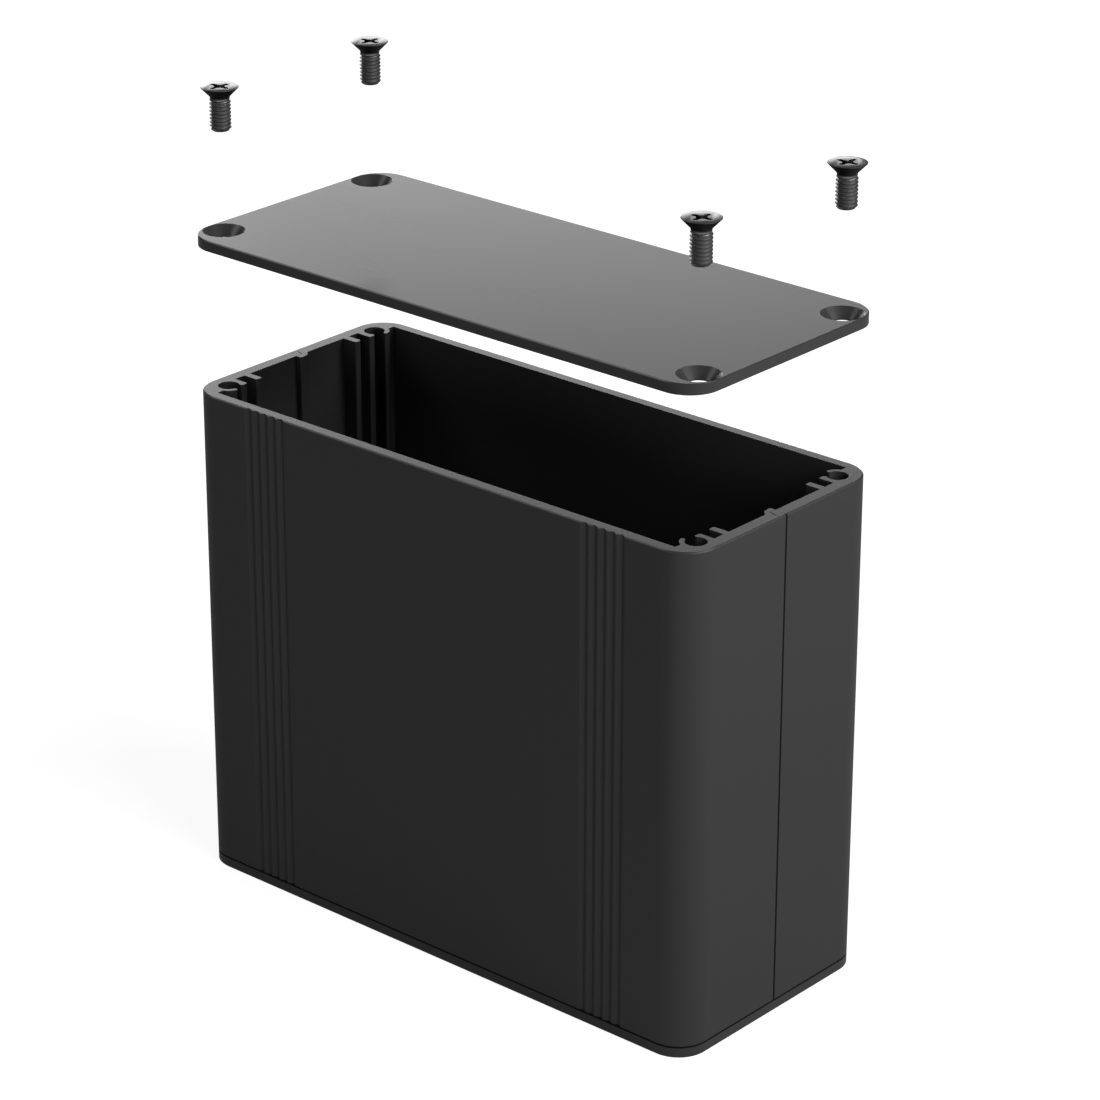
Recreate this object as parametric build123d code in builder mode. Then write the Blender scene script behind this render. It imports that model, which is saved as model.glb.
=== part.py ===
from build123d import *
import os

# Split aluminium enclosure, millimetres. It stands on its bottom end plate at z = 0, with
# its width along X, its depth along Y and the extruded length along Z. The top end plate
# and its four screws are lifted off the open end, straight above their seats.

# Case, seen from its open end
case_width = 88.0
case_depth = 38.0
case_length = 70.0
corner_radius = 4.5
long_wall = 1.6
short_wall = 1.9
rim_bevel = 0.2

# End plates
plate_thickness = 1.5
plate_bevel = 0.15
plate_hole_diameter = 3.2
countersink_diameter = 5.8
countersink_angle = 90.0

# Screws: a countersunk head with a cross recess, on a straight shank
screw_diameter = 2.9
screw_length = 6.0
head_diameter = 5.3
tip_chamfer = 0.35
recess_span = 3.2
recess_root_span = 1.3
recess_arm = 0.64
recess_depth = 1.3
screw_from_short_edge = 3.0
screw_from_long_edge = 4.6

# Clearances between pieces
bore_clearance = 0.025
seat_clearance = 0.05
tongue_clearance = 0.05
tongue_tip_clearance = 0.15

# Screw bosses and board rails inside the corners
boss_lip = 0.65
boss_root = 0.85
boss_mouth_angle = 18.0
board_slot = 1.8
rail_thickness = 1.05
rail_reach = 2.4
rail_round = 0.25
rail_web = 0.8

# Grooves along both wide faces
groove_count = 5
groove_pitch = 1.5
groove_width = 1.4
groove_depth = 0.3
groove_group_offset = 29.75

# Tongue and hooked pocket where the two halves meet on the narrow walls
seam_bevel = 0.17
outer_lip = 0.75
tongue_depth_inside = 0.8
tongue_depth_outside = 1.2
hook_reach = 0.95
hook_height = 2.0
hook_shoulder = 1.2
hook_slope = 0.15
hook_overlap = 0.2
hook_round = 0.3

# How far the loose pieces are lifted
plate_lift = 20.7
screw_lift = 20.2

# Places worked out from the sizes above
half_width = case_width / 2
half_depth = case_depth / 2
inner_x = half_width - short_wall
inner_y = half_depth - long_wall
screw_x = half_width - screw_from_short_edge
screw_y = half_depth - screw_from_long_edge
screw_radius = screw_diameter / 2
head_radius = head_diameter / 2
countersink_radius = countersink_diameter / 2
bore_radius = screw_radius + bore_clearance
head_sink = countersink_radius - head_radius - seat_clearance
head_height = head_radius - screw_radius
case_bottom = plate_thickness
case_top = case_bottom + case_length
top_plate_bottom = case_top + plate_lift
top_plate_top = top_plate_bottom + plate_thickness
outer_rail_side = screw_y - bore_radius - rail_web
inner_rail_side = outer_rail_side - board_slot - rail_thickness
wall_middle_x = inner_x + short_wall / 2

# One front corner, on the right: the mass round the screw bore, the curved lip beside the
# wide wall, and the two rails that hold a board's edge between them.
with BuildSketch() as corner_boss:
    boss_left = screw_x - boss_root
    with Locations(((boss_left + inner_x) / 2, -(screw_y + inner_y) / 2)):
        Rectangle(inner_x - boss_left, inner_y - screw_y)
    with Locations(((screw_x + inner_x) / 2, -(outer_rail_side + screw_y) / 2)):
        Rectangle(inner_x - screw_x, screw_y - outer_rail_side)
    with BuildLine(mode=Mode.PRIVATE) as lip_line:
        CenterArc(
            (screw_x, -screw_y),
            bore_radius + boss_lip / 2,
            start_angle=180 + boss_mouth_angle,
            arc_size=90 - boss_mouth_angle,
        )
    SlotArc(lip_line.edge(), boss_lip)
    rail_tip = inner_x - rail_reach
    for side in (outer_rail_side, inner_rail_side):
        with Locations(((rail_tip + wall_middle_x) / 2, -side - rail_thickness / 2)):
            RectangleRounded(wall_middle_x - rail_tip, rail_thickness, rail_round)

# The section of the front half of the case. Turned half a turn about Z it is the back half
# too: its right wall ends in the hooked pocket and its left wall in the tongue.
with BuildSketch() as half_profile:
    RectangleRounded(case_width, case_depth, corner_radius)
    Rectangle(2 * inner_x, 2 * inner_y, mode=Mode.SUBTRACT)
    split(bisect_by=Plane.XZ)
    seam_edge = half_profile.vertices().group_by(Axis.Y)[-1].sort_by(Axis.X)
    chamfer([seam_edge[0], seam_edge[-1]], seam_bevel)
    add(corner_boss.sketch)
    mirror(corner_boss.sketch, about=Plane.YZ)
    with Locations((screw_x, -screw_y), (-screw_x, -screw_y)):
        Circle(bore_radius, mode=Mode.SUBTRACT)

    # The hook leans in from the right wall and ends just past the seam
    hook_front = inner_x - hook_reach
    hook_back = inner_x - tongue_clearance
    with BuildLine():
        Polyline(
            (wall_middle_x, -hook_height),
            (inner_x, -hook_height),
            (hook_front + hook_slope, -hook_shoulder),
            (hook_front, hook_overlap),
            (hook_back, hook_overlap),
            (hook_back, 0),
            (wall_middle_x, 0),
            close=True,
        )
    make_face()
    for corner in ((hook_front + hook_slope, -hook_shoulder), (hook_front, hook_overlap)):
        fillet(half_profile.vertices().sort_by_distance(corner)[0], hook_round)

    # The pocket behind the hook takes the tongue of the other half, which is flush inside
    pocket_outside = half_width - outer_lip
    tongue_outside = pocket_outside - tongue_clearance
    with BuildLine():
        Polyline(
            (hook_back, 0),
            (hook_back, -tongue_depth_inside - tongue_tip_clearance),
            (pocket_outside, -tongue_depth_outside - tongue_tip_clearance),
            (pocket_outside, 0),
            close=True,
        )
    make_face(mode=Mode.SUBTRACT)
    with BuildLine():
        Polyline(
            (-inner_x, -short_wall),
            (-inner_x, tongue_depth_inside),
            (-tongue_outside, tongue_depth_outside),
            (-tongue_outside, -short_wall),
            close=True,
        )
    make_face()

    # Grooves in the wide face, one group near each end
    groove_span = (groove_count - 1) * groove_pitch
    for group in (-groove_group_offset, groove_group_offset):
        for number in range(groove_count):
            groove_x = group - groove_span / 2 + number * groove_pitch
            with BuildLine():
                Polyline(
                    (groove_x - groove_width / 2, -half_depth),
                    (groove_x + groove_width / 2, -half_depth),
                    (groove_x, groove_depth - half_depth),
                    close=True,
                )
            make_face(mode=Mode.SUBTRACT)

# The outside of both halves together, with the two cut ends bevelled
with BuildPart() as case_outside:
    with BuildSketch(Plane.XY.offset(case_bottom)):
        RectangleRounded(case_width, case_depth, corner_radius)
    extrude(amount=case_length)
    chamfer(case_outside.faces().filter_by(Axis.Z).edges(), rim_bevel)

with BuildPart() as front_shell:
    with BuildSketch(Plane.XY.offset(case_bottom)):
        add(half_profile.sketch)
    extrude(amount=case_length)
    add(case_outside.part, mode=Mode.INTERSECT)

with BuildPart() as back_shell:
    with BuildSketch(Plane.XY.offset(case_bottom)):
        add(half_profile.sketch, rotation=180)
    extrude(amount=case_length)
    add(case_outside.part, mode=Mode.INTERSECT)

# Both end plates are the same blank, bevelled and countersunk from the outside
with BuildPart() as top_end_plate:
    with BuildSketch(Plane.XY.offset(top_plate_bottom)):
        RectangleRounded(case_width, case_depth, corner_radius)
    extrude(amount=plate_thickness)
    chamfer(top_end_plate.faces().sort_by(Axis.Z)[-1].edges(), plate_bevel)
    with Locations(Plane.XY.offset(top_plate_top)):
        with GridLocations(2 * screw_x, 2 * screw_y, 2, 2):
            CounterSinkHole(
                plate_hole_diameter / 2,
                countersink_radius,
                counter_sink_angle=countersink_angle,
            )

with BuildPart() as bottom_end_plate:
    with BuildSketch(Plane.XY):
        RectangleRounded(case_width, case_depth, corner_radius)
    extrude(amount=plate_thickness)
    chamfer(bottom_end_plate.faces().sort_by(Axis.Z)[0].edges(), plate_bevel)
    with Locations(-Plane.XY):
        with GridLocations(2 * screw_x, 2 * screw_y, 2, 2):
            CounterSinkHole(
                plate_hole_diameter / 2,
                countersink_radius,
                counter_sink_angle=countersink_angle,
            )

# The cross recess: four wings whose ends slope in towards the bottom
with BuildPart() as driver_recess:
    for side_plane in (Plane.XZ, Plane.YZ):
        with BuildSketch(side_plane):
            with BuildLine():
                Polyline(
                    (-recess_span / 2, 0),
                    (recess_span / 2, 0),
                    (recess_root_span / 2, -recess_depth),
                    (-recess_root_span / 2, -recess_depth),
                    close=True,
                )
            make_face()
        extrude(amount=recess_arm / 2, both=True)

# One screw, hanging from the middle of its flat head
with BuildPart() as screw:
    with BuildSketch(Plane.XZ):
        with BuildLine():
            Polyline(
                (0, 0),
                (head_radius, 0),
                (screw_radius, -head_height),
                (screw_radius, tip_chamfer - screw_length),
                (screw_radius - tip_chamfer, -screw_length),
                (0, -screw_length),
                close=True,
            )
        make_face()
    revolve(axis=Axis.Z)
    add(driver_recess.part, mode=Mode.SUBTRACT)

os.makedirs("parts", exist_ok=True)

front_shell.part.label = "front_shell"
export_step(front_shell.part, "parts/front_shell.step")
back_shell.part.label = "back_shell"
export_step(back_shell.part, "parts/back_shell.step")
top_end_plate.part.label = "top_end_plate"
export_step(top_end_plate.part, "parts/top_end_plate.step")
bottom_end_plate.part.label = "bottom_end_plate"
export_step(bottom_end_plate.part, "parts/bottom_end_plate.step")

# A screw for each corner, lifted above the top plate or seated in the bottom plate
corners = {
    "front_left": (-screw_x, -screw_y),
    "front_right": (screw_x, -screw_y),
    "back_left": (-screw_x, screw_y),
    "back_right": (screw_x, screw_y),
}
for corner, (x, y) in corners.items():
    with BuildPart() as top_screw:
        with Locations((x, y, top_plate_top - head_sink + screw_lift)):
            add(screw.part)
    top_screw.part.label = f"top_screw_{corner}"
    export_step(top_screw.part, f"parts/top_screw_{corner}.step")

    with BuildPart() as bottom_screw:
        with Locations(Location((x, y, head_sink), (180, 0, 0))):
            add(screw.part)
    bottom_screw.part.label = f"bottom_screw_{corner}"
    export_step(bottom_screw.part, f"parts/bottom_screw_{corner}.step")
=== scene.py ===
# %% [markdown]
# A split aluminium case
#
# This lesson dresses an extruded aluminium case that stands on its end with its lid and four
# screws lifted off. The case, plates and screws arrive as a fixed frame of solids at their
# real size. What they lack is the look: the black anodised finish with the marks of each
# process, the threads and rounded recesses of the screws, and a studio. Nothing that came
# with the frame is moved, so every piece that is made here reads its place from it.

# %% Load the frame
from math import cos, pi, radians, sin

import bpy
from mathutils import Matrix, Vector


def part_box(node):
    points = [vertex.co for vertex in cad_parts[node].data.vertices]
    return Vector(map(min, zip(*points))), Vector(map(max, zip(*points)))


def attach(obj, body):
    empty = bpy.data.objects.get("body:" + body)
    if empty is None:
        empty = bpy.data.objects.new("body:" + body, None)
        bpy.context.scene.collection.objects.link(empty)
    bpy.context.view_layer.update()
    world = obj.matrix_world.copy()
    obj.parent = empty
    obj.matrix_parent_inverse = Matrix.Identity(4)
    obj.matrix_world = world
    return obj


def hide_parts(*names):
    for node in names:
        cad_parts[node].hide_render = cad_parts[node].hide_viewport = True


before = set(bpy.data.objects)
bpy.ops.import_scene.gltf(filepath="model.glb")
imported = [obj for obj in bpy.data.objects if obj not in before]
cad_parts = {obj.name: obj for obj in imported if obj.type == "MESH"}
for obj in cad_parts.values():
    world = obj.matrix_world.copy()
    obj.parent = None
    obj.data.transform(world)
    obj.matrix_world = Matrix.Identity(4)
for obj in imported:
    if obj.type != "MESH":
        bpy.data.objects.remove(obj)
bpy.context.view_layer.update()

# %% [markdown]
# Measures
#
# A change to the solids should carry through to the finish, so no size is typed twice. The
# ends of the case come from the box of one half shell, and the screws' places, length and
# head from the box of one screw. A box doesn't tell the round of a corner, so that is read
# from the lid's points, where its straight edge ends.

# %% Measures from the frame
MM = 0.001
CORNERS = ("front_left", "front_right", "back_left", "back_right")

case_low, case_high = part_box("front_shell")
lid_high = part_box("top_end_plate")[1]
screw_low, screw_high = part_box("top_screw_front_right")
bottom_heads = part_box("bottom_screw_front_right")[0].z
screw_middle = (screw_low + screw_high) / 2
screw_x = screw_middle.x
screw_y = -screw_middle.y
screw_length = (screw_high.z - screw_low.z) / MM
head_radius = (screw_high.x - screw_low.x) / 2 / MM

tolerance = 0.001 * MM
lid_points = [vertex.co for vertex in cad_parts["top_end_plate"].data.vertices]
back_edge = [point.x for point in lid_points if lid_high.y - point.y < tolerance]
corner_radius = lid_high.x - max(back_edge)
print("screw axes at", round(screw_x / MM, 2), round(screw_y / MM, 2), "mm from the middle")
print("screw length", round(screw_length, 2), "mm, head across", round(2 * head_radius, 2), "mm")
print("corner radius", round(corner_radius / MM, 2), "mm")

# %% [markdown]
# The camera
#
# A product shot from this far needs a long lens, which keeps the upright edges nearly
# parallel. The camera is placed by turning round a point in the middle of the picture, so
# that its angles can be read straight from the values. The roll is the small tilt of the
# horizon that is left when the edges of the case are fitted.

# %% Camera
lens_length = 131.02
film_width = 36.0
camera_azimuth = radians(41.06)
camera_elevation = radians(23.23)
camera_roll = radians(0.12)
camera_distance = 558 * MM
picture_middle = Vector((-10.08, 16.73, 45.84)) * MM


def direction(azimuth, elevation):
    """The way from the object to something seen at that azimuth and elevation."""
    flat = cos(elevation)
    return Vector((sin(azimuth) * flat, -cos(azimuth) * flat, sin(elevation)))


def add_object(name, data):
    made = bpy.data.objects.new(name, data)
    bpy.context.scene.collection.objects.link(made)
    return made


def look_at(placed, position, target, roll=0.0):
    turned = (target - position).to_track_quat("-Z", "Y").to_matrix().to_4x4()
    placed.matrix_world = Matrix.Translation(position) @ turned @ Matrix.Rotation(roll, 4, "Z")


camera_data = bpy.data.cameras.new("camera")
camera_data.sensor_width = film_width
camera_data.lens = lens_length
camera_data.clip_end = 10
camera = add_object("camera", camera_data)
camera_place = picture_middle + camera_distance * direction(camera_azimuth, camera_elevation)
look_at(camera, camera_place, picture_middle, camera_roll)
bpy.context.scene.camera = camera
print("camera at", [round(c / MM, 1) for c in camera_place], "mm")

# %% [markdown]
# Sums of sockets
#
# A finish and a thread are both made of small sums, and a sum is easier to read as a sum than
# as boxes with wires. This class wraps an output socket of any node tree. The operators add
# Math nodes, the reflected ones let a number stand first, as in 1 - mask, and the method
# called node adds every other kind of node.


# %% A socket that can be used in a sum
class Wire:
    """An output socket of a node tree, or the bare tree while it has no socket."""

    def __init__(self, tree, socket=None):
        self.tree = tree
        self.socket = socket

    def node(self, kind, settings=None, inputs=None, output=0):
        """Adds a node: first its settings, then the values or links of its sockets."""
        made = self.tree.nodes.new(kind)
        for name, value in (settings or {}).items():
            setattr(made, name, value)
        for name, value in (inputs or {}).items():
            if isinstance(value, Wire):
                self.tree.links.new(value.socket, made.inputs[name])
            else:
                made.inputs[name].default_value = value
        return Wire(self.tree, made.outputs[output] if made.outputs else None)

    def math(self, operation, *values):
        """A Math node of these values, or of this wire alone where none are given."""
        numbered = dict(enumerate(values or (self,)))
        return self.node("ShaderNodeMath", {"operation": operation}, numbered)

    def __add__(self, other):
        return self.math("ADD", self, other)

    def __radd__(self, other):
        return self.math("ADD", other, self)

    def __sub__(self, other):
        return self.math("SUBTRACT", self, other)

    def __rsub__(self, other):
        return self.math("SUBTRACT", other, self)

    def __mul__(self, other):
        return self.math("MULTIPLY", self, other)

    def __rmul__(self, other):
        return self.math("MULTIPLY", other, self)

    def __truediv__(self, other):
        return self.math("DIVIDE", self, other)

    def __abs__(self):
        return self.math("ABSOLUTE")

    def least(self, other):
        return self.math("MINIMUM", self, other)

    def most(self, other):
        return self.math("MAXIMUM", self, other)

    def ramp(self, start, end):
        """0 up to start, 1 from end on, and a smooth rise between them."""
        sizes = {"Value": self, "From Min": start, "From Max": end}
        return self.node("ShaderNodeMapRange", {"interpolation_type": "SMOOTHSTEP"}, sizes)

    def between(self, low, high):
        """low where this is 0, high where it is 1."""
        return low + self * (high - low)


# %% [markdown]
# Tools for a finish
#
# A metal finish has three things that change over it: the tone of the dye, the gloss, and the
# relief of the tool marks. They read the piece's own coordinates. These stay with a piece
# when it moves, because every piece has its place in its mesh and its object at the origin.


# %% Noise, colour and a new material
MIX_FACTOR, MIX_FIRST, MIX_SECOND, MIX_RESULT = 0, 6, 7, 2


def noise(place, lump, detail=2.0):
    """Noise from 0 to 1. Its lumps are as large as lump says, one size for each axis."""
    scale = Vector([1 / size for size in lump])
    scaled = place.node("ShaderNodeMapping", inputs={"Vector": place, "Scale": scale})
    return place.node("ShaderNodeTexNoise", inputs={"Vector": scaled, "Scale": 1.0, "Detail": detail})


def rings(distance, width):
    """Turned marks: noise from 0 to 1 that changes only with the distance from an axis."""
    sizes = {"W": distance / width, "Scale": 1.0, "Detail": 1.0}
    return distance.node("ShaderNodeTexNoise", {"noise_dimensions": "1D"}, sizes)


def tone(factor, dark, light):
    """A colour from dark to light. Both are red, green and blue."""
    inputs = {MIX_FACTOR: factor, MIX_FIRST: (*dark, 1), MIX_SECOND: (*light, 1)}
    return factor.node("ShaderNodeMix", {"data_type": "RGBA"}, inputs, MIX_RESULT)


def begin(name):
    """An empty material with its shader node, the point on the piece, and its x, y and z."""
    material = bpy.data.materials.new(name)
    material.use_nodes = True
    shader = next(n for n in material.node_tree.nodes if n.type == "BSDF_PRINCIPLED")
    place = Wire(material.node_tree).node("ShaderNodeTexCoord", output="Object")
    axes = [place.node("ShaderNodeSeparateXYZ", inputs={0: place}, output=a) for a in "XYZ"]
    return material, shader, place, axes


def finish(shader, color, roughness, height, depth, metallic=None):
    """Joins what changes to the shader. The relief is depth metres deep."""
    relief = {"Height": height, "Distance": depth, "Strength": 1.0}
    normal = color.node("ShaderNodeBump", inputs=relief)
    wires = {"Base Color": color, "Roughness": roughness, "Normal": normal, "Metallic": metallic}
    for name, wire in wires.items():
        if wire:
            color.tree.links.new(wire.socket, shader.inputs[name])


def from_screw_axis(x, y):
    """The distance of a point from the nearest of the four screw axes."""
    across = abs(x) - screw_x
    along = abs(y) - screw_y
    return (across * across + along * along).math("SQRT")


def from_outline(x, y):
    """How far a point is outside the case's outline, less than 0 inside it."""
    across = (abs(x) - (case_high.x - corner_radius)).most(0)
    along = (abs(y) - (lid_high.y - corner_radius)).most(0)
    return (across * across + along * along).math("SQRT") - corner_radius


# %% [markdown]
# Black anodised extrusion
#
# The half shells are pushed through a die, sawn to length, etched and dyed black. The die
# leaves faint lines along the length, the etch a satin grain, and the saw a finer, glossier
# face at each end. Anodised aluminium is dark dye in a clear oxide skin, so it is shaded as
# a dark body under a clear surface and not as bare metal. The die lines are noise that is
# stretched along Z, and the sawn ends are told by their height.
#
# The seam of the halves and the one at the foot are fine bevels, and on the real case they
# read as dark lines, the shade in the thin gap between the parts. That shade is painted here.
# A clear surface would catch every lamp there. A metal mirrors only in its own colour, so
# these bevels are turned into a black metal, which stays dark: painted shade.


# %% Finish of the half shells
oxide_index = 1.5
joint_bevel = 0.2 * MM
# painted shade: the black that stands in for the shade in the thin gap at the seam and the foot
painted_gap_black = (0.02, 0.02, 0.02)
joint_roughness = 0.8


def shell_finish():
    material, shader, place, (x, y, z) = begin("shell_aluminium")
    die_lines = noise(place, (0.3 * MM, 0.3 * MM, 90 * MM))
    wide_lines = noise(place, (3 * MM, 3 * MM, 400 * MM), detail=1.0)
    grain = noise(place, (0.08 * MM, 0.08 * MM, 0.08 * MM))
    dye = noise(place, (25 * MM, 25 * MM, 60 * MM))
    from_end = abs(z - case_high.z).least(abs(z - case_low.z))
    sawn = 1 - from_end.ramp(0.02 * MM, 0.14 * MM)
    saw_lines = noise(place, (6 * MM, 0.12 * MM, 1 * MM))
    outside = abs(x).ramp(case_high.x - 1.5 * joint_bevel, case_high.x - joint_bevel)
    seam = outside * (1 - abs(y).ramp(0.8 * joint_bevel, joint_bevel))
    foot = 1 - (z - case_low.z).ramp(0.8 * joint_bevel, joint_bevel)
    # painted shade: the seam and foot bevels become black metal for the shade of the gap
    painted_gap_shade = seam.most(foot)
    dyed = 0.6 + 0.25 * dye + 0.15 * wide_lines
    color = tone((1 - painted_gap_shade) * dyed, painted_gap_black, (0.018, 0.018, 0.0185))
    drawn = 0.37 + 0.06 * die_lines + 0.05 * wide_lines
    worked = sawn.between(drawn, 0.22 + 0.05 * saw_lines)
    roughness = painted_gap_shade.between(worked, joint_roughness)
    height = sawn.between(0.5 * die_lines + 0.3 * grain, 0.3 * saw_lines + 0.3 * grain)
    finish(shader, color, roughness, height, depth=0.003 * MM, metallic=painted_gap_shade)
    shader.inputs["IOR"].default_value = oxide_index
    return material


shell_aluminium = shell_finish()
print("nodes in the finish of the shells:", len(shell_aluminium.node_tree.nodes))


# %% [markdown]
# Black anodised plate
#
# The end plates are punched from rolled sheet, so their grain runs one way, and the cutter
# that sinks the screw holes leaves rings round each axis. They are dyed in the same bath as
# the shells. The distance to the nearest screw axis tells where the rings belong. The bottom
# plate's ledge under the case lies at the seam at the foot, so it gets the same painted shade
# of the gap, as black metal. It is told by its height and by its distance from the plate's
# outline.


# %% Finish of the end plates
countersink_lip = 0.25
countersink_radius = (head_radius + countersink_lip) * MM


def plate_finish():
    material, shader, place, (x, y, z) = begin("plate_aluminium")
    rolled = noise(place, (30 * MM, 0.25 * MM, 0.25 * MM))
    grain = noise(place, (0.08 * MM, 0.08 * MM, 0.08 * MM))
    dye = noise(place, (30 * MM, 20 * MM, 20 * MM))
    axis = from_screw_axis(x, y)
    turned = 1 - axis.ramp(countersink_radius - 0.05 * MM, countersink_radius + 0.05 * MM)
    marks = rings(axis, 0.06 * MM)
    rim = from_outline(x, y).ramp(-1.5 * joint_bevel, -1.2 * joint_bevel)
    # painted shade: the ledge under the case becomes black metal for the shade of the gap at the foot
    painted_gap_shade = rim * (1 - abs(z - case_low.z).ramp(0.3 * joint_bevel, 0.5 * joint_bevel))
    color = tone((1 - painted_gap_shade) * (0.7 + 0.3 * dye), painted_gap_black, (0.022, 0.022, 0.0225))
    worked = turned.between(0.22 + 0.05 * rolled + 0.03 * dye, 0.28 + 0.08 * marks)
    roughness = painted_gap_shade.between(worked, joint_roughness)
    height = turned.between(0.3 * rolled + 0.3 * grain, marks)
    finish(shader, color, roughness, height, depth=0.002 * MM, metallic=painted_gap_shade)
    shader.inputs["IOR"].default_value = oxide_index
    return material


plate_aluminium = plate_finish()
print("nodes in the finish of the plates:", len(plate_aluminium.node_tree.nodes))


# %% [markdown]
# Blackened steel
#
# The screws are cold headed, thread rolled and blackened. Steel stays a metal under so thin a
# skin, so this is a metal with a dark tone. The top of the head keeps rings from the punch and
# is rubbed to grey, the thread less so. The cone under the head and the recess are painted
# near black, as painted shade under the head and inside the recess, which also keeps lamps
# from glinting there. The depth below the head's top tells these apart, and a cone inside the
# head's own cone tells the recess from the outside.


# %% Finish of the screws
inner_cone_radius = 2.1 * MM
inner_cone_slope = 0.87


def screw_finish():
    material, shader, place, (x, y, z) = begin("screw_steel")
    axis = from_screw_axis(x, y)
    depth = abs(z - screw_high.z).least(abs(z - bottom_heads))
    inner_cone = inner_cone_radius - inner_cone_slope * depth
    recess = (inner_cone - axis).ramp(-0.05 * MM, 0.05 * MM) * depth.ramp(0.002 * MM, 0.02 * MM)
    below = depth.ramp(0.005 * MM, 0.03 * MM)
    shank = depth.ramp(1.35 * MM, 1.65 * MM)
    marks = rings(axis, 0.08 * MM)
    grain = noise(place, (0.1 * MM, 0.1 * MM, 0.1 * MM))
    patches = noise(place, (1.2 * MM, 1.2 * MM, 1.2 * MM))
    # wear and painted shade: grey where the top and the thread are rubbed, painted shade near black on the
    # cone under the head and in the recess
    wear_and_painted_shade = (1 - recess) * (1 - below * shank.between(0.95, 0.2)) * patches.between(0.85, 1.0)
    color = tone(wear_and_painted_shade, (0.012, 0.012, 0.012), (0.20, 0.20, 0.205))
    roughness = below.between(0.24 + 0.04 * marks, 0.45 + 0.05 * patches)
    height = 0.2 * marks + 0.3 * grain
    finish(shader, color, recess.between(roughness, 0.6), height, depth=0.002 * MM)
    shader.inputs["Metallic"].default_value = 1.0
    return material


screw_steel = screw_finish()
print("nodes in the finish of the screws:", len(screw_steel.node_tree.nodes))


# %% [markdown]
# The solids that stay
#
# The half shells and the end plates already have the right shape, so they keep it and only
# change their material. The screws are made anew further down.

# %% Dress the shells and the plates
for name in ("front_shell", "back_shell"):
    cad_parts[name].material_slots[0].material = shell_aluminium
for name in ("top_end_plate", "bottom_end_plate"):
    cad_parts[name].material_slots[0].material = plate_aluminium
print("dressed four solids")

# %% [markdown]
# The screw's head
#
# A countersunk head is a solid of revolution with a cross recess punched into it. The outline
# is turned round the axis, with a small round where the flat top meets the cone. The recess
# is a second solid, a cross with round webs that narrows on its way down, and a Boolean takes
# it out. All screw meshes are drawn in millimetres and made small when they are placed.


# %% Meshes from rings of points
def skin(name, loops):
    """A closed mesh through loops of equally many points, with a flat face at each end."""
    count = len(loops[0])
    points = [point for loop in loops for point in loop]
    faces = [list(range(count))[::-1], list(range(len(points) - count, len(points)))]
    for first in range(0, len(points) - count, count):
        for place in range(count):
            after = (place + 1) % count
            faces.append((first + place, first + after, first + count + after, first + count + place))
    mesh = bpy.data.meshes.new(name)
    mesh.from_pydata(points, [], faces)
    return mesh


def circle(radius, height, steps):
    turns = [2 * pi * step / steps for step in range(steps)]
    return [(radius * cos(turn), radius * sin(turn), height) for turn in turns]


def cross(span, arm, web, height, steps=6):
    """The outline of a cross recess: four arms with round ends and a round web between."""
    half = arm / 2
    end = Vector((span / 2 - half, 0))
    corner = Vector((half + web, half + web))
    outline = []
    for quarter in range(4):
        turn = Matrix.Rotation(quarter * pi / 2, 2)
        for step in range(steps + 1):
            angle = pi * (step / steps - 0.5)
            outline.append(turn @ (end + half * Vector((cos(angle), sin(angle)))))
        for step in range(steps + 1):
            angle = pi * (1.5 - 0.5 * step / steps)
            outline.append(turn @ (corner + web * Vector((cos(angle), sin(angle)))))
    return [(point.x, point.y, height) for point in outline]


# %% Head with its recess
TURN_STEPS = 48
neck_radius = 1.33
neck_end = -1.6
recess_depth = 1.3

# Radius and height of each ring, from the neck up to the flat top
head_profile = (
    (neck_radius, neck_end),
    (neck_radius, -1.42),
    (neck_radius + 0.06, -1.29),
    (head_radius - 0.10, -0.10),
    (head_radius - 0.065, -0.05),
    (head_radius - 0.08, -0.02),
    (head_radius - 0.13, 0.0),
)
# Span, arm, web and height of each cross, from the bottom up
recess_sections = (
    (0.6, 0.40, 0.05, -recess_depth - 0.12),
    (1.3, 0.52, 0.19, -recess_depth),
    (3.10, 0.64, 0.50, -0.05),
    (3.14, 0.66, 0.50, -0.02),
    (3.22, 0.72, 0.49, 0.04),
)
head = add_object("head", skin("head", [circle(r, z, TURN_STEPS) for r, z in head_profile]))
recess = add_object("recess", skin("recess", [cross(*sizes) for sizes in recess_sections]))
punch = head.modifiers.new("punch", "BOOLEAN")
punch.operation = "DIFFERENCE"
punch.solver = "EXACT"
punch.object = recess
head.data = bpy.data.meshes.new_from_object(head.evaluated_get(bpy.context.evaluated_depsgraph_get()))
head.modifiers.clear()
bpy.data.objects.remove(recess)
print("head faces:", len(head.data.polygons))

# %% [markdown]
# The thread
#
# A thread is one profile that climbs as it turns, so it is a rule and not a shape to draw.
# Geometry Nodes bend a flat grid round the axis. Its rows follow the helix, because each
# column starts a little higher than the last, and a full turn climbs one pitch. A row's
# place in the pitch gives the depth of the groove. Half a row's shift puts two rows on each
# crest, one at each edge of its flat. Rows beyond the ends fall onto the axis and close the
# mesh, and the doubled points along the seam are merged.
#
# The shank reaches a little way up inside the head's neck and is a hair slimmer there. The
# two volumes then overlap without a common face, and the Boolean joins them cleanly.


# %% A tree that makes one screw and sets it on every point
def new_tree(name, sockets):
    """A geometry tree with named inputs, as a dict of wires, and its output node."""
    tree = bpy.data.node_groups.new(name, "GeometryNodeTree")
    tree.interface.new_socket("Geometry", in_out="OUTPUT", socket_type="NodeSocketGeometry")
    for socket, kind in sockets.items():
        tree.interface.new_socket(socket, in_out="INPUT", socket_type="NodeSocket" + kind)
    given = tree.nodes.new("NodeGroupInput")
    ending = tree.nodes.new("NodeGroupOutput")
    return {socket: Wire(tree, given.outputs[socket]) for socket in sockets}, ending


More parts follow.
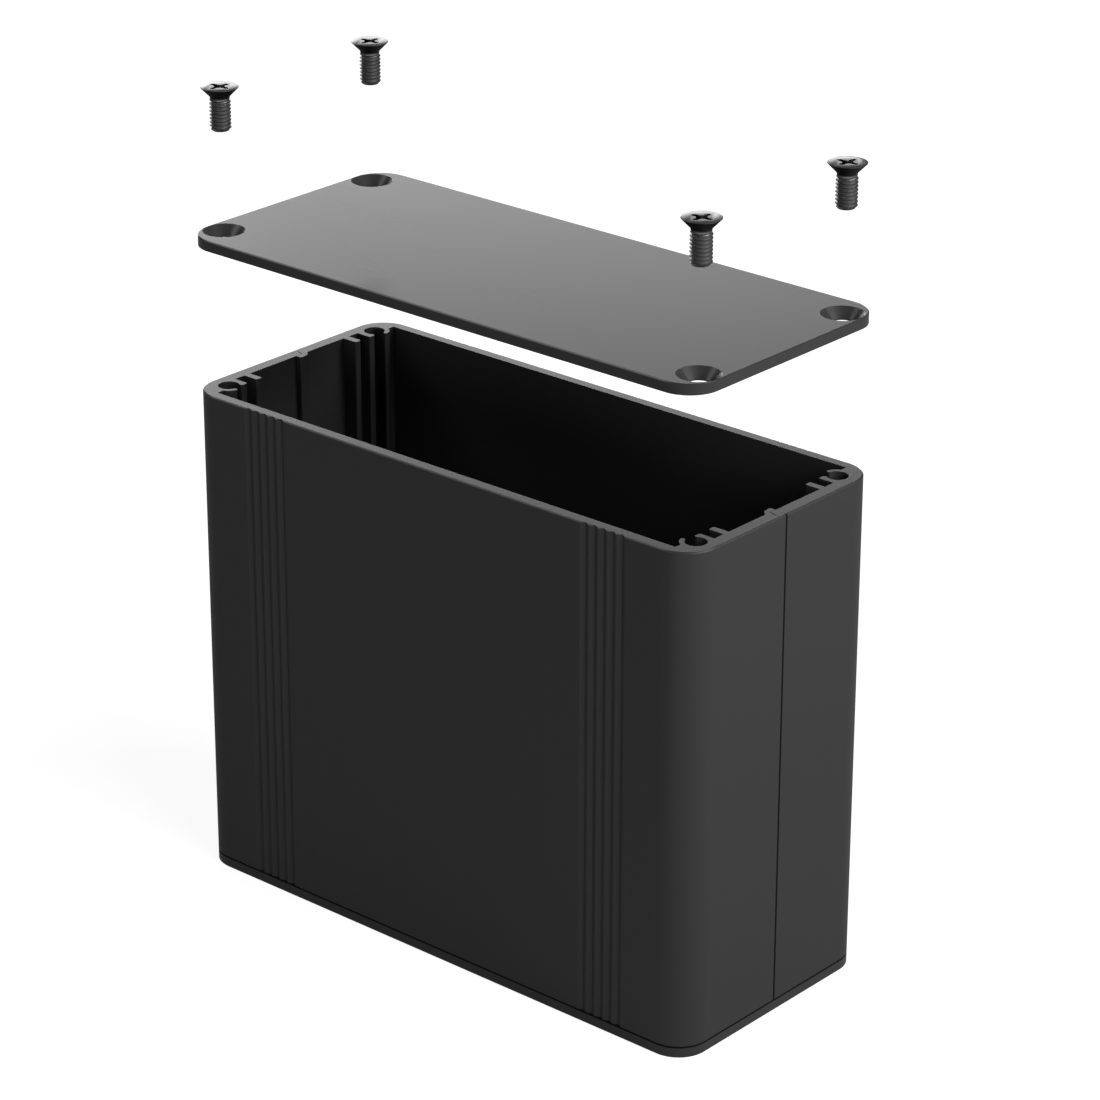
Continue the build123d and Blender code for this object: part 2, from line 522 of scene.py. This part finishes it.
def threaded_shank(given):
    """The threaded shank in millimetres, from the tip up to just inside the head's neck."""
    rows_per_turn = 8
    crest_share = 1 / 8
    flank_share = 5 / 16
    step = given["Pitch"] / rows_per_turn
    tip = 0 - given["Length"]
    top = given["Thread top"]
    rows = ((top - tip + given["Pitch"]) / step).math("CEIL") + 4
    start = tip - given["Pitch"] - 2 * step
    sizes = {"Size X": 1.0, "Size Y": 1.0, "Vertices X": TURN_STEPS + 1, "Vertices Y": rows + 1}
    grid = top.node("GeometryNodeMeshGrid", inputs=sizes)
    place = top.node("GeometryNodeInputPosition")
    across, along = (top.node("ShaderNodeSeparateXYZ", inputs={0: place}, output=a) + 0.5 for a in "XY")
    half_row = 0.5
    row = along * rows + half_row
    rise = start + row * step + across * given["Pitch"]
    phase = (row / rows_per_turn).math("FRACT")
    from_crest = 0.5 - abs(phase - 0.5)
    groove = ((from_crest - crest_share / 2) / flank_share).most(0).least(1)
    crest = given["Crest radius"]
    radius = crest - groove * given["Groove depth"]
    run_out = rise.ramp(top - 1.2 * given["Pitch"], top - 0.2 * given["Pitch"])
    radius = radius + run_out * (given["Neck radius"] - radius)
    height = rise.most(tip).least(top)
    chamfer = crest - given["Tip chamfer"] + (height - tip)
    radius = radius.least(chamfer)
    beyond = (tip - rise).most(rise - top)
    radius = radius * (1 - beyond.math("GREATER_THAN", beyond, 1.5 * step))
    angle = across * (2 * pi)
    bent = top.node(
        "ShaderNodeCombineXYZ",
        inputs={
            "X": radius * angle.math("COSINE"),
            "Y": radius * angle.math("SINE"),
            "Z": height,
        },
    )
    shank = top.node("GeometryNodeSetPosition", inputs={"Geometry": grid, "Position": bent})
    return top.node("GeometryNodeMergeByDistance", inputs={"Geometry": shank, "Distance": 0.001})


def screw_tree():
    sockets = {
        "Seats": "Geometry",
        "Head": "Object",
        "Length": "Float",
        "Pitch": "Float",
        "Crest radius": "Float",
        "Groove depth": "Float",
        "Neck radius": "Float",
        "Thread top": "Float",
        "Tip chamfer": "Float",
        "Turn": "Vector",
        "Scale": "Float",
        "Finish": "Material",
    }
    given, ending = new_tree("screws", sockets)
    shank = threaded_shank(given)
    head_mesh = shank.node("GeometryNodeObjectInfo", inputs={"Object": given["Head"]}, output="Geometry")
    union = shank.tree.nodes.new("GeometryNodeMeshBoolean")
    union.operation = "UNION"
    union.solver = "EXACT"
    for part in (shank, head_mesh):
        shank.tree.links.new(part.socket, union.inputs["Mesh 2"])
    screw = Wire(shank.tree, union.outputs["Mesh"])
    placing = {
        "Points": given["Seats"],
        "Instance": screw,
        "Rotation": given["Turn"],
        "Scale": given["Scale"],
    }
    placed = screw.node("GeometryNodeInstanceOnPoints", inputs=placing)
    real = screw.node("GeometryNodeRealizeInstances", inputs={"Geometry": placed})
    dressed = screw.node("GeometryNodeSetMaterial", inputs={"Geometry": real, "Material": given["Finish"]})
    dressed.tree.links.new(dressed.socket, ending.inputs["Geometry"])
    return dressed.tree


screws = screw_tree()
print("nodes in the screw tree:", len(screws.nodes))

# %% [markdown]
# Setting the screws
#
# The points of a small mesh are the seats, one for each screw: a single point for each of the
# four loose screws, because each of them moves by itself, and four for the bottom plate,
# whose screws stay with the case. The bottom ones are turned over to point upwards.

# %% Place the screws
neck_overlap = 0.12
neck_slimmer = 0.02

screw_sizes = {
    "Head": head,
    "Length": screw_length,
    "Pitch": 0.5,
    "Crest radius": 1.45,
    "Groove depth": 0.29,
    "Neck radius": neck_radius - neck_slimmer,
    "Thread top": neck_end + neck_overlap,
    "Tip chamfer": 0.35,
    "Scale": MM,
    "Finish": screw_steel,
}


def set_screws(name, seats, turn):
    """One mesh of screws whose heads' tops are at the seats."""
    points = bpy.data.meshes.new(name)
    points.from_pydata(seats, [], [])
    piece = add_object(name, points)
    modifier = piece.modifiers.new("screws", "NODES")
    modifier.node_group = screws
    values = {**screw_sizes, "Turn": turn}
    for item in screws.interface.items_tree:
        if item.name in values:
            modifier[item.identifier] = values[item.name]
    seen = piece.evaluated_get(bpy.context.evaluated_depsgraph_get())
    piece.data = bpy.data.meshes.new_from_object(seen)
    piece.modifiers.clear()
    piece.data.shade_smooth()
    piece.data.set_sharp_from_angle(angle=radians(32))
    return piece


for corner in CORNERS:
    low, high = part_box("top_screw_" + corner)
    seat = ((low.x + high.x) / 2, (low.y + high.y) / 2, high.z)
    piece = set_screws("threaded_screw_" + corner, [seat], (0, 0, 0))
    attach(piece, "screw_" + corner)
    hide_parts("top_screw_" + corner)

bottom_seats = []
for corner in CORNERS:
    low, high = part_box("bottom_screw_" + corner)
    bottom_seats.append(((low.x + high.x) / 2, (low.y + high.y) / 2, low.z))
piece = set_screws("threaded_bottom_screws", bottom_seats, (pi, 0, 0))
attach(piece, "housing")
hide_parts(*["bottom_screw_" + corner for corner in CORNERS])
bpy.data.objects.remove(head)
print("faces in four bottom screws:", len(piece.data.polygons))

# %% [markdown]
# The studio
#
# Black objects are lit by what they mirror. Two long soft lights behind and to the left lie
# where the lid and the rim mirror them, so that these turn grey, while the walls mirror the
# floor and stay black. A large light on the right brightens the floor that the narrow wall
# mirrors. The lights are large, near and dim, because a small bright one would be a white
# patch on the lid from other sides. Two weak ones in front fill the shadows, and the lower
# of them reaches the inside through the gap under the lid.
#
# The floor and the world turn white only for the camera, so no extra light falls on the
# object. Metal and glass see a share of that white too. The share is small, because the
# black walls would mirror a white table as grey. Near the case the floor is a little darker,
# so that the shadow shows.

# %% Lights
softboxes = {
    "back": dict(azimuth=-129, elevation=12.5, distance=0.9, size=(0.62, 0.32), power=1.5),
    "back_left": dict(azimuth=-118, elevation=14, distance=0.9, size=(0.35, 0.32), power=0.6),
    "right": dict(azimuth=95, elevation=33, distance=0.6, size=(0.66, 0.34), power=5.8),
    "front_left": dict(azimuth=-57, elevation=44, distance=0.8, size=(0.3, 0.3), power=0.6),
    "low_front": dict(azimuth=22, elevation=9, distance=0.9, size=(0.6, 0.2), power=1.3),
}
case_middle = Vector((0, 0, case_high.z / 2))
for name, box in softboxes.items():
    lamp = bpy.data.lights.new(name, "AREA")
    lamp.shape = "RECTANGLE"
    lamp.size, lamp.size_y = box["size"]
    lamp.energy = box["power"]
    softbox = add_object(name, lamp)
    way = direction(radians(box["azimuth"]), radians(box["elevation"]))
    look_at(softbox, case_middle + box["distance"] * way, case_middle)
    softbox.visible_camera = False
print("lights:", len(softboxes), "with", round(sum(box["power"] for box in softboxes.values()), 1), "W")


# %% Floor and world
floor_tone = 0.24
floor_half = 4.0
mirror_share = 0.06
world_fill = 0.13
near_lift, far_lift = 0.88, 1.0
near_reach, far_reach = 70 * MM, 240 * MM


def background_rays(tree):
    """1 for a ray from the camera, mirror_share for a mirrored or refracted one, else 0."""
    camera_ray, glossy_ray, clear_ray = (
        Wire(tree).node("ShaderNodeLightPath", output=f"Is {kind} Ray")
        for kind in ("Camera", "Glossy", "Transmission")
    )
    return camera_ray + mirror_share * (glossy_ray + clear_ray)


def floor_finish():
    material, shader, place, _ = begin("floor")
    shader.inputs["Base Color"].default_value = (floor_tone, floor_tone, floor_tone, 1)
    shader.inputs["Roughness"].default_value = 1.0
    shader.inputs["Specular IOR Level"].default_value = 0.0
    shader.inputs["Emission Color"].default_value = (1, 1, 1, 1)
    away = place.node("ShaderNodeVectorMath", {"operation": "LENGTH"}, {0: place}, output="Value")
    lift = away.ramp(near_reach, far_reach).between(near_lift, far_lift)
    lift = lift * background_rays(material.node_tree)
    lift.tree.links.new(lift.socket, shader.inputs["Emission Strength"])
    return material


floor_mesh = bpy.data.meshes.new("floor")
floor_corners = [
    (-floor_half, -floor_half, 0),
    (floor_half, -floor_half, 0),
    (floor_half, floor_half, 0),
    (-floor_half, floor_half, 0),
]
floor_mesh.from_pydata(floor_corners, [], [(0, 1, 2, 3)])
floor_mesh.materials.append(floor_finish())
add_object("floor", floor_mesh)

world = bpy.data.worlds.new("studio")
world.use_nodes = True
bpy.context.scene.world = world
sky = next(n for n in world.node_tree.nodes if n.type == "BACKGROUND")
sky.inputs["Color"].default_value = (1, 1, 1, 1)
shine = background_rays(world.node_tree).between(world_fill, 1.0)
world.node_tree.links.new(shine.socket, sky.inputs["Strength"])
bpy.context.scene.view_settings.view_transform = "Standard"
print("floor", 2 * floor_half, "m square, world fill", world_fill)
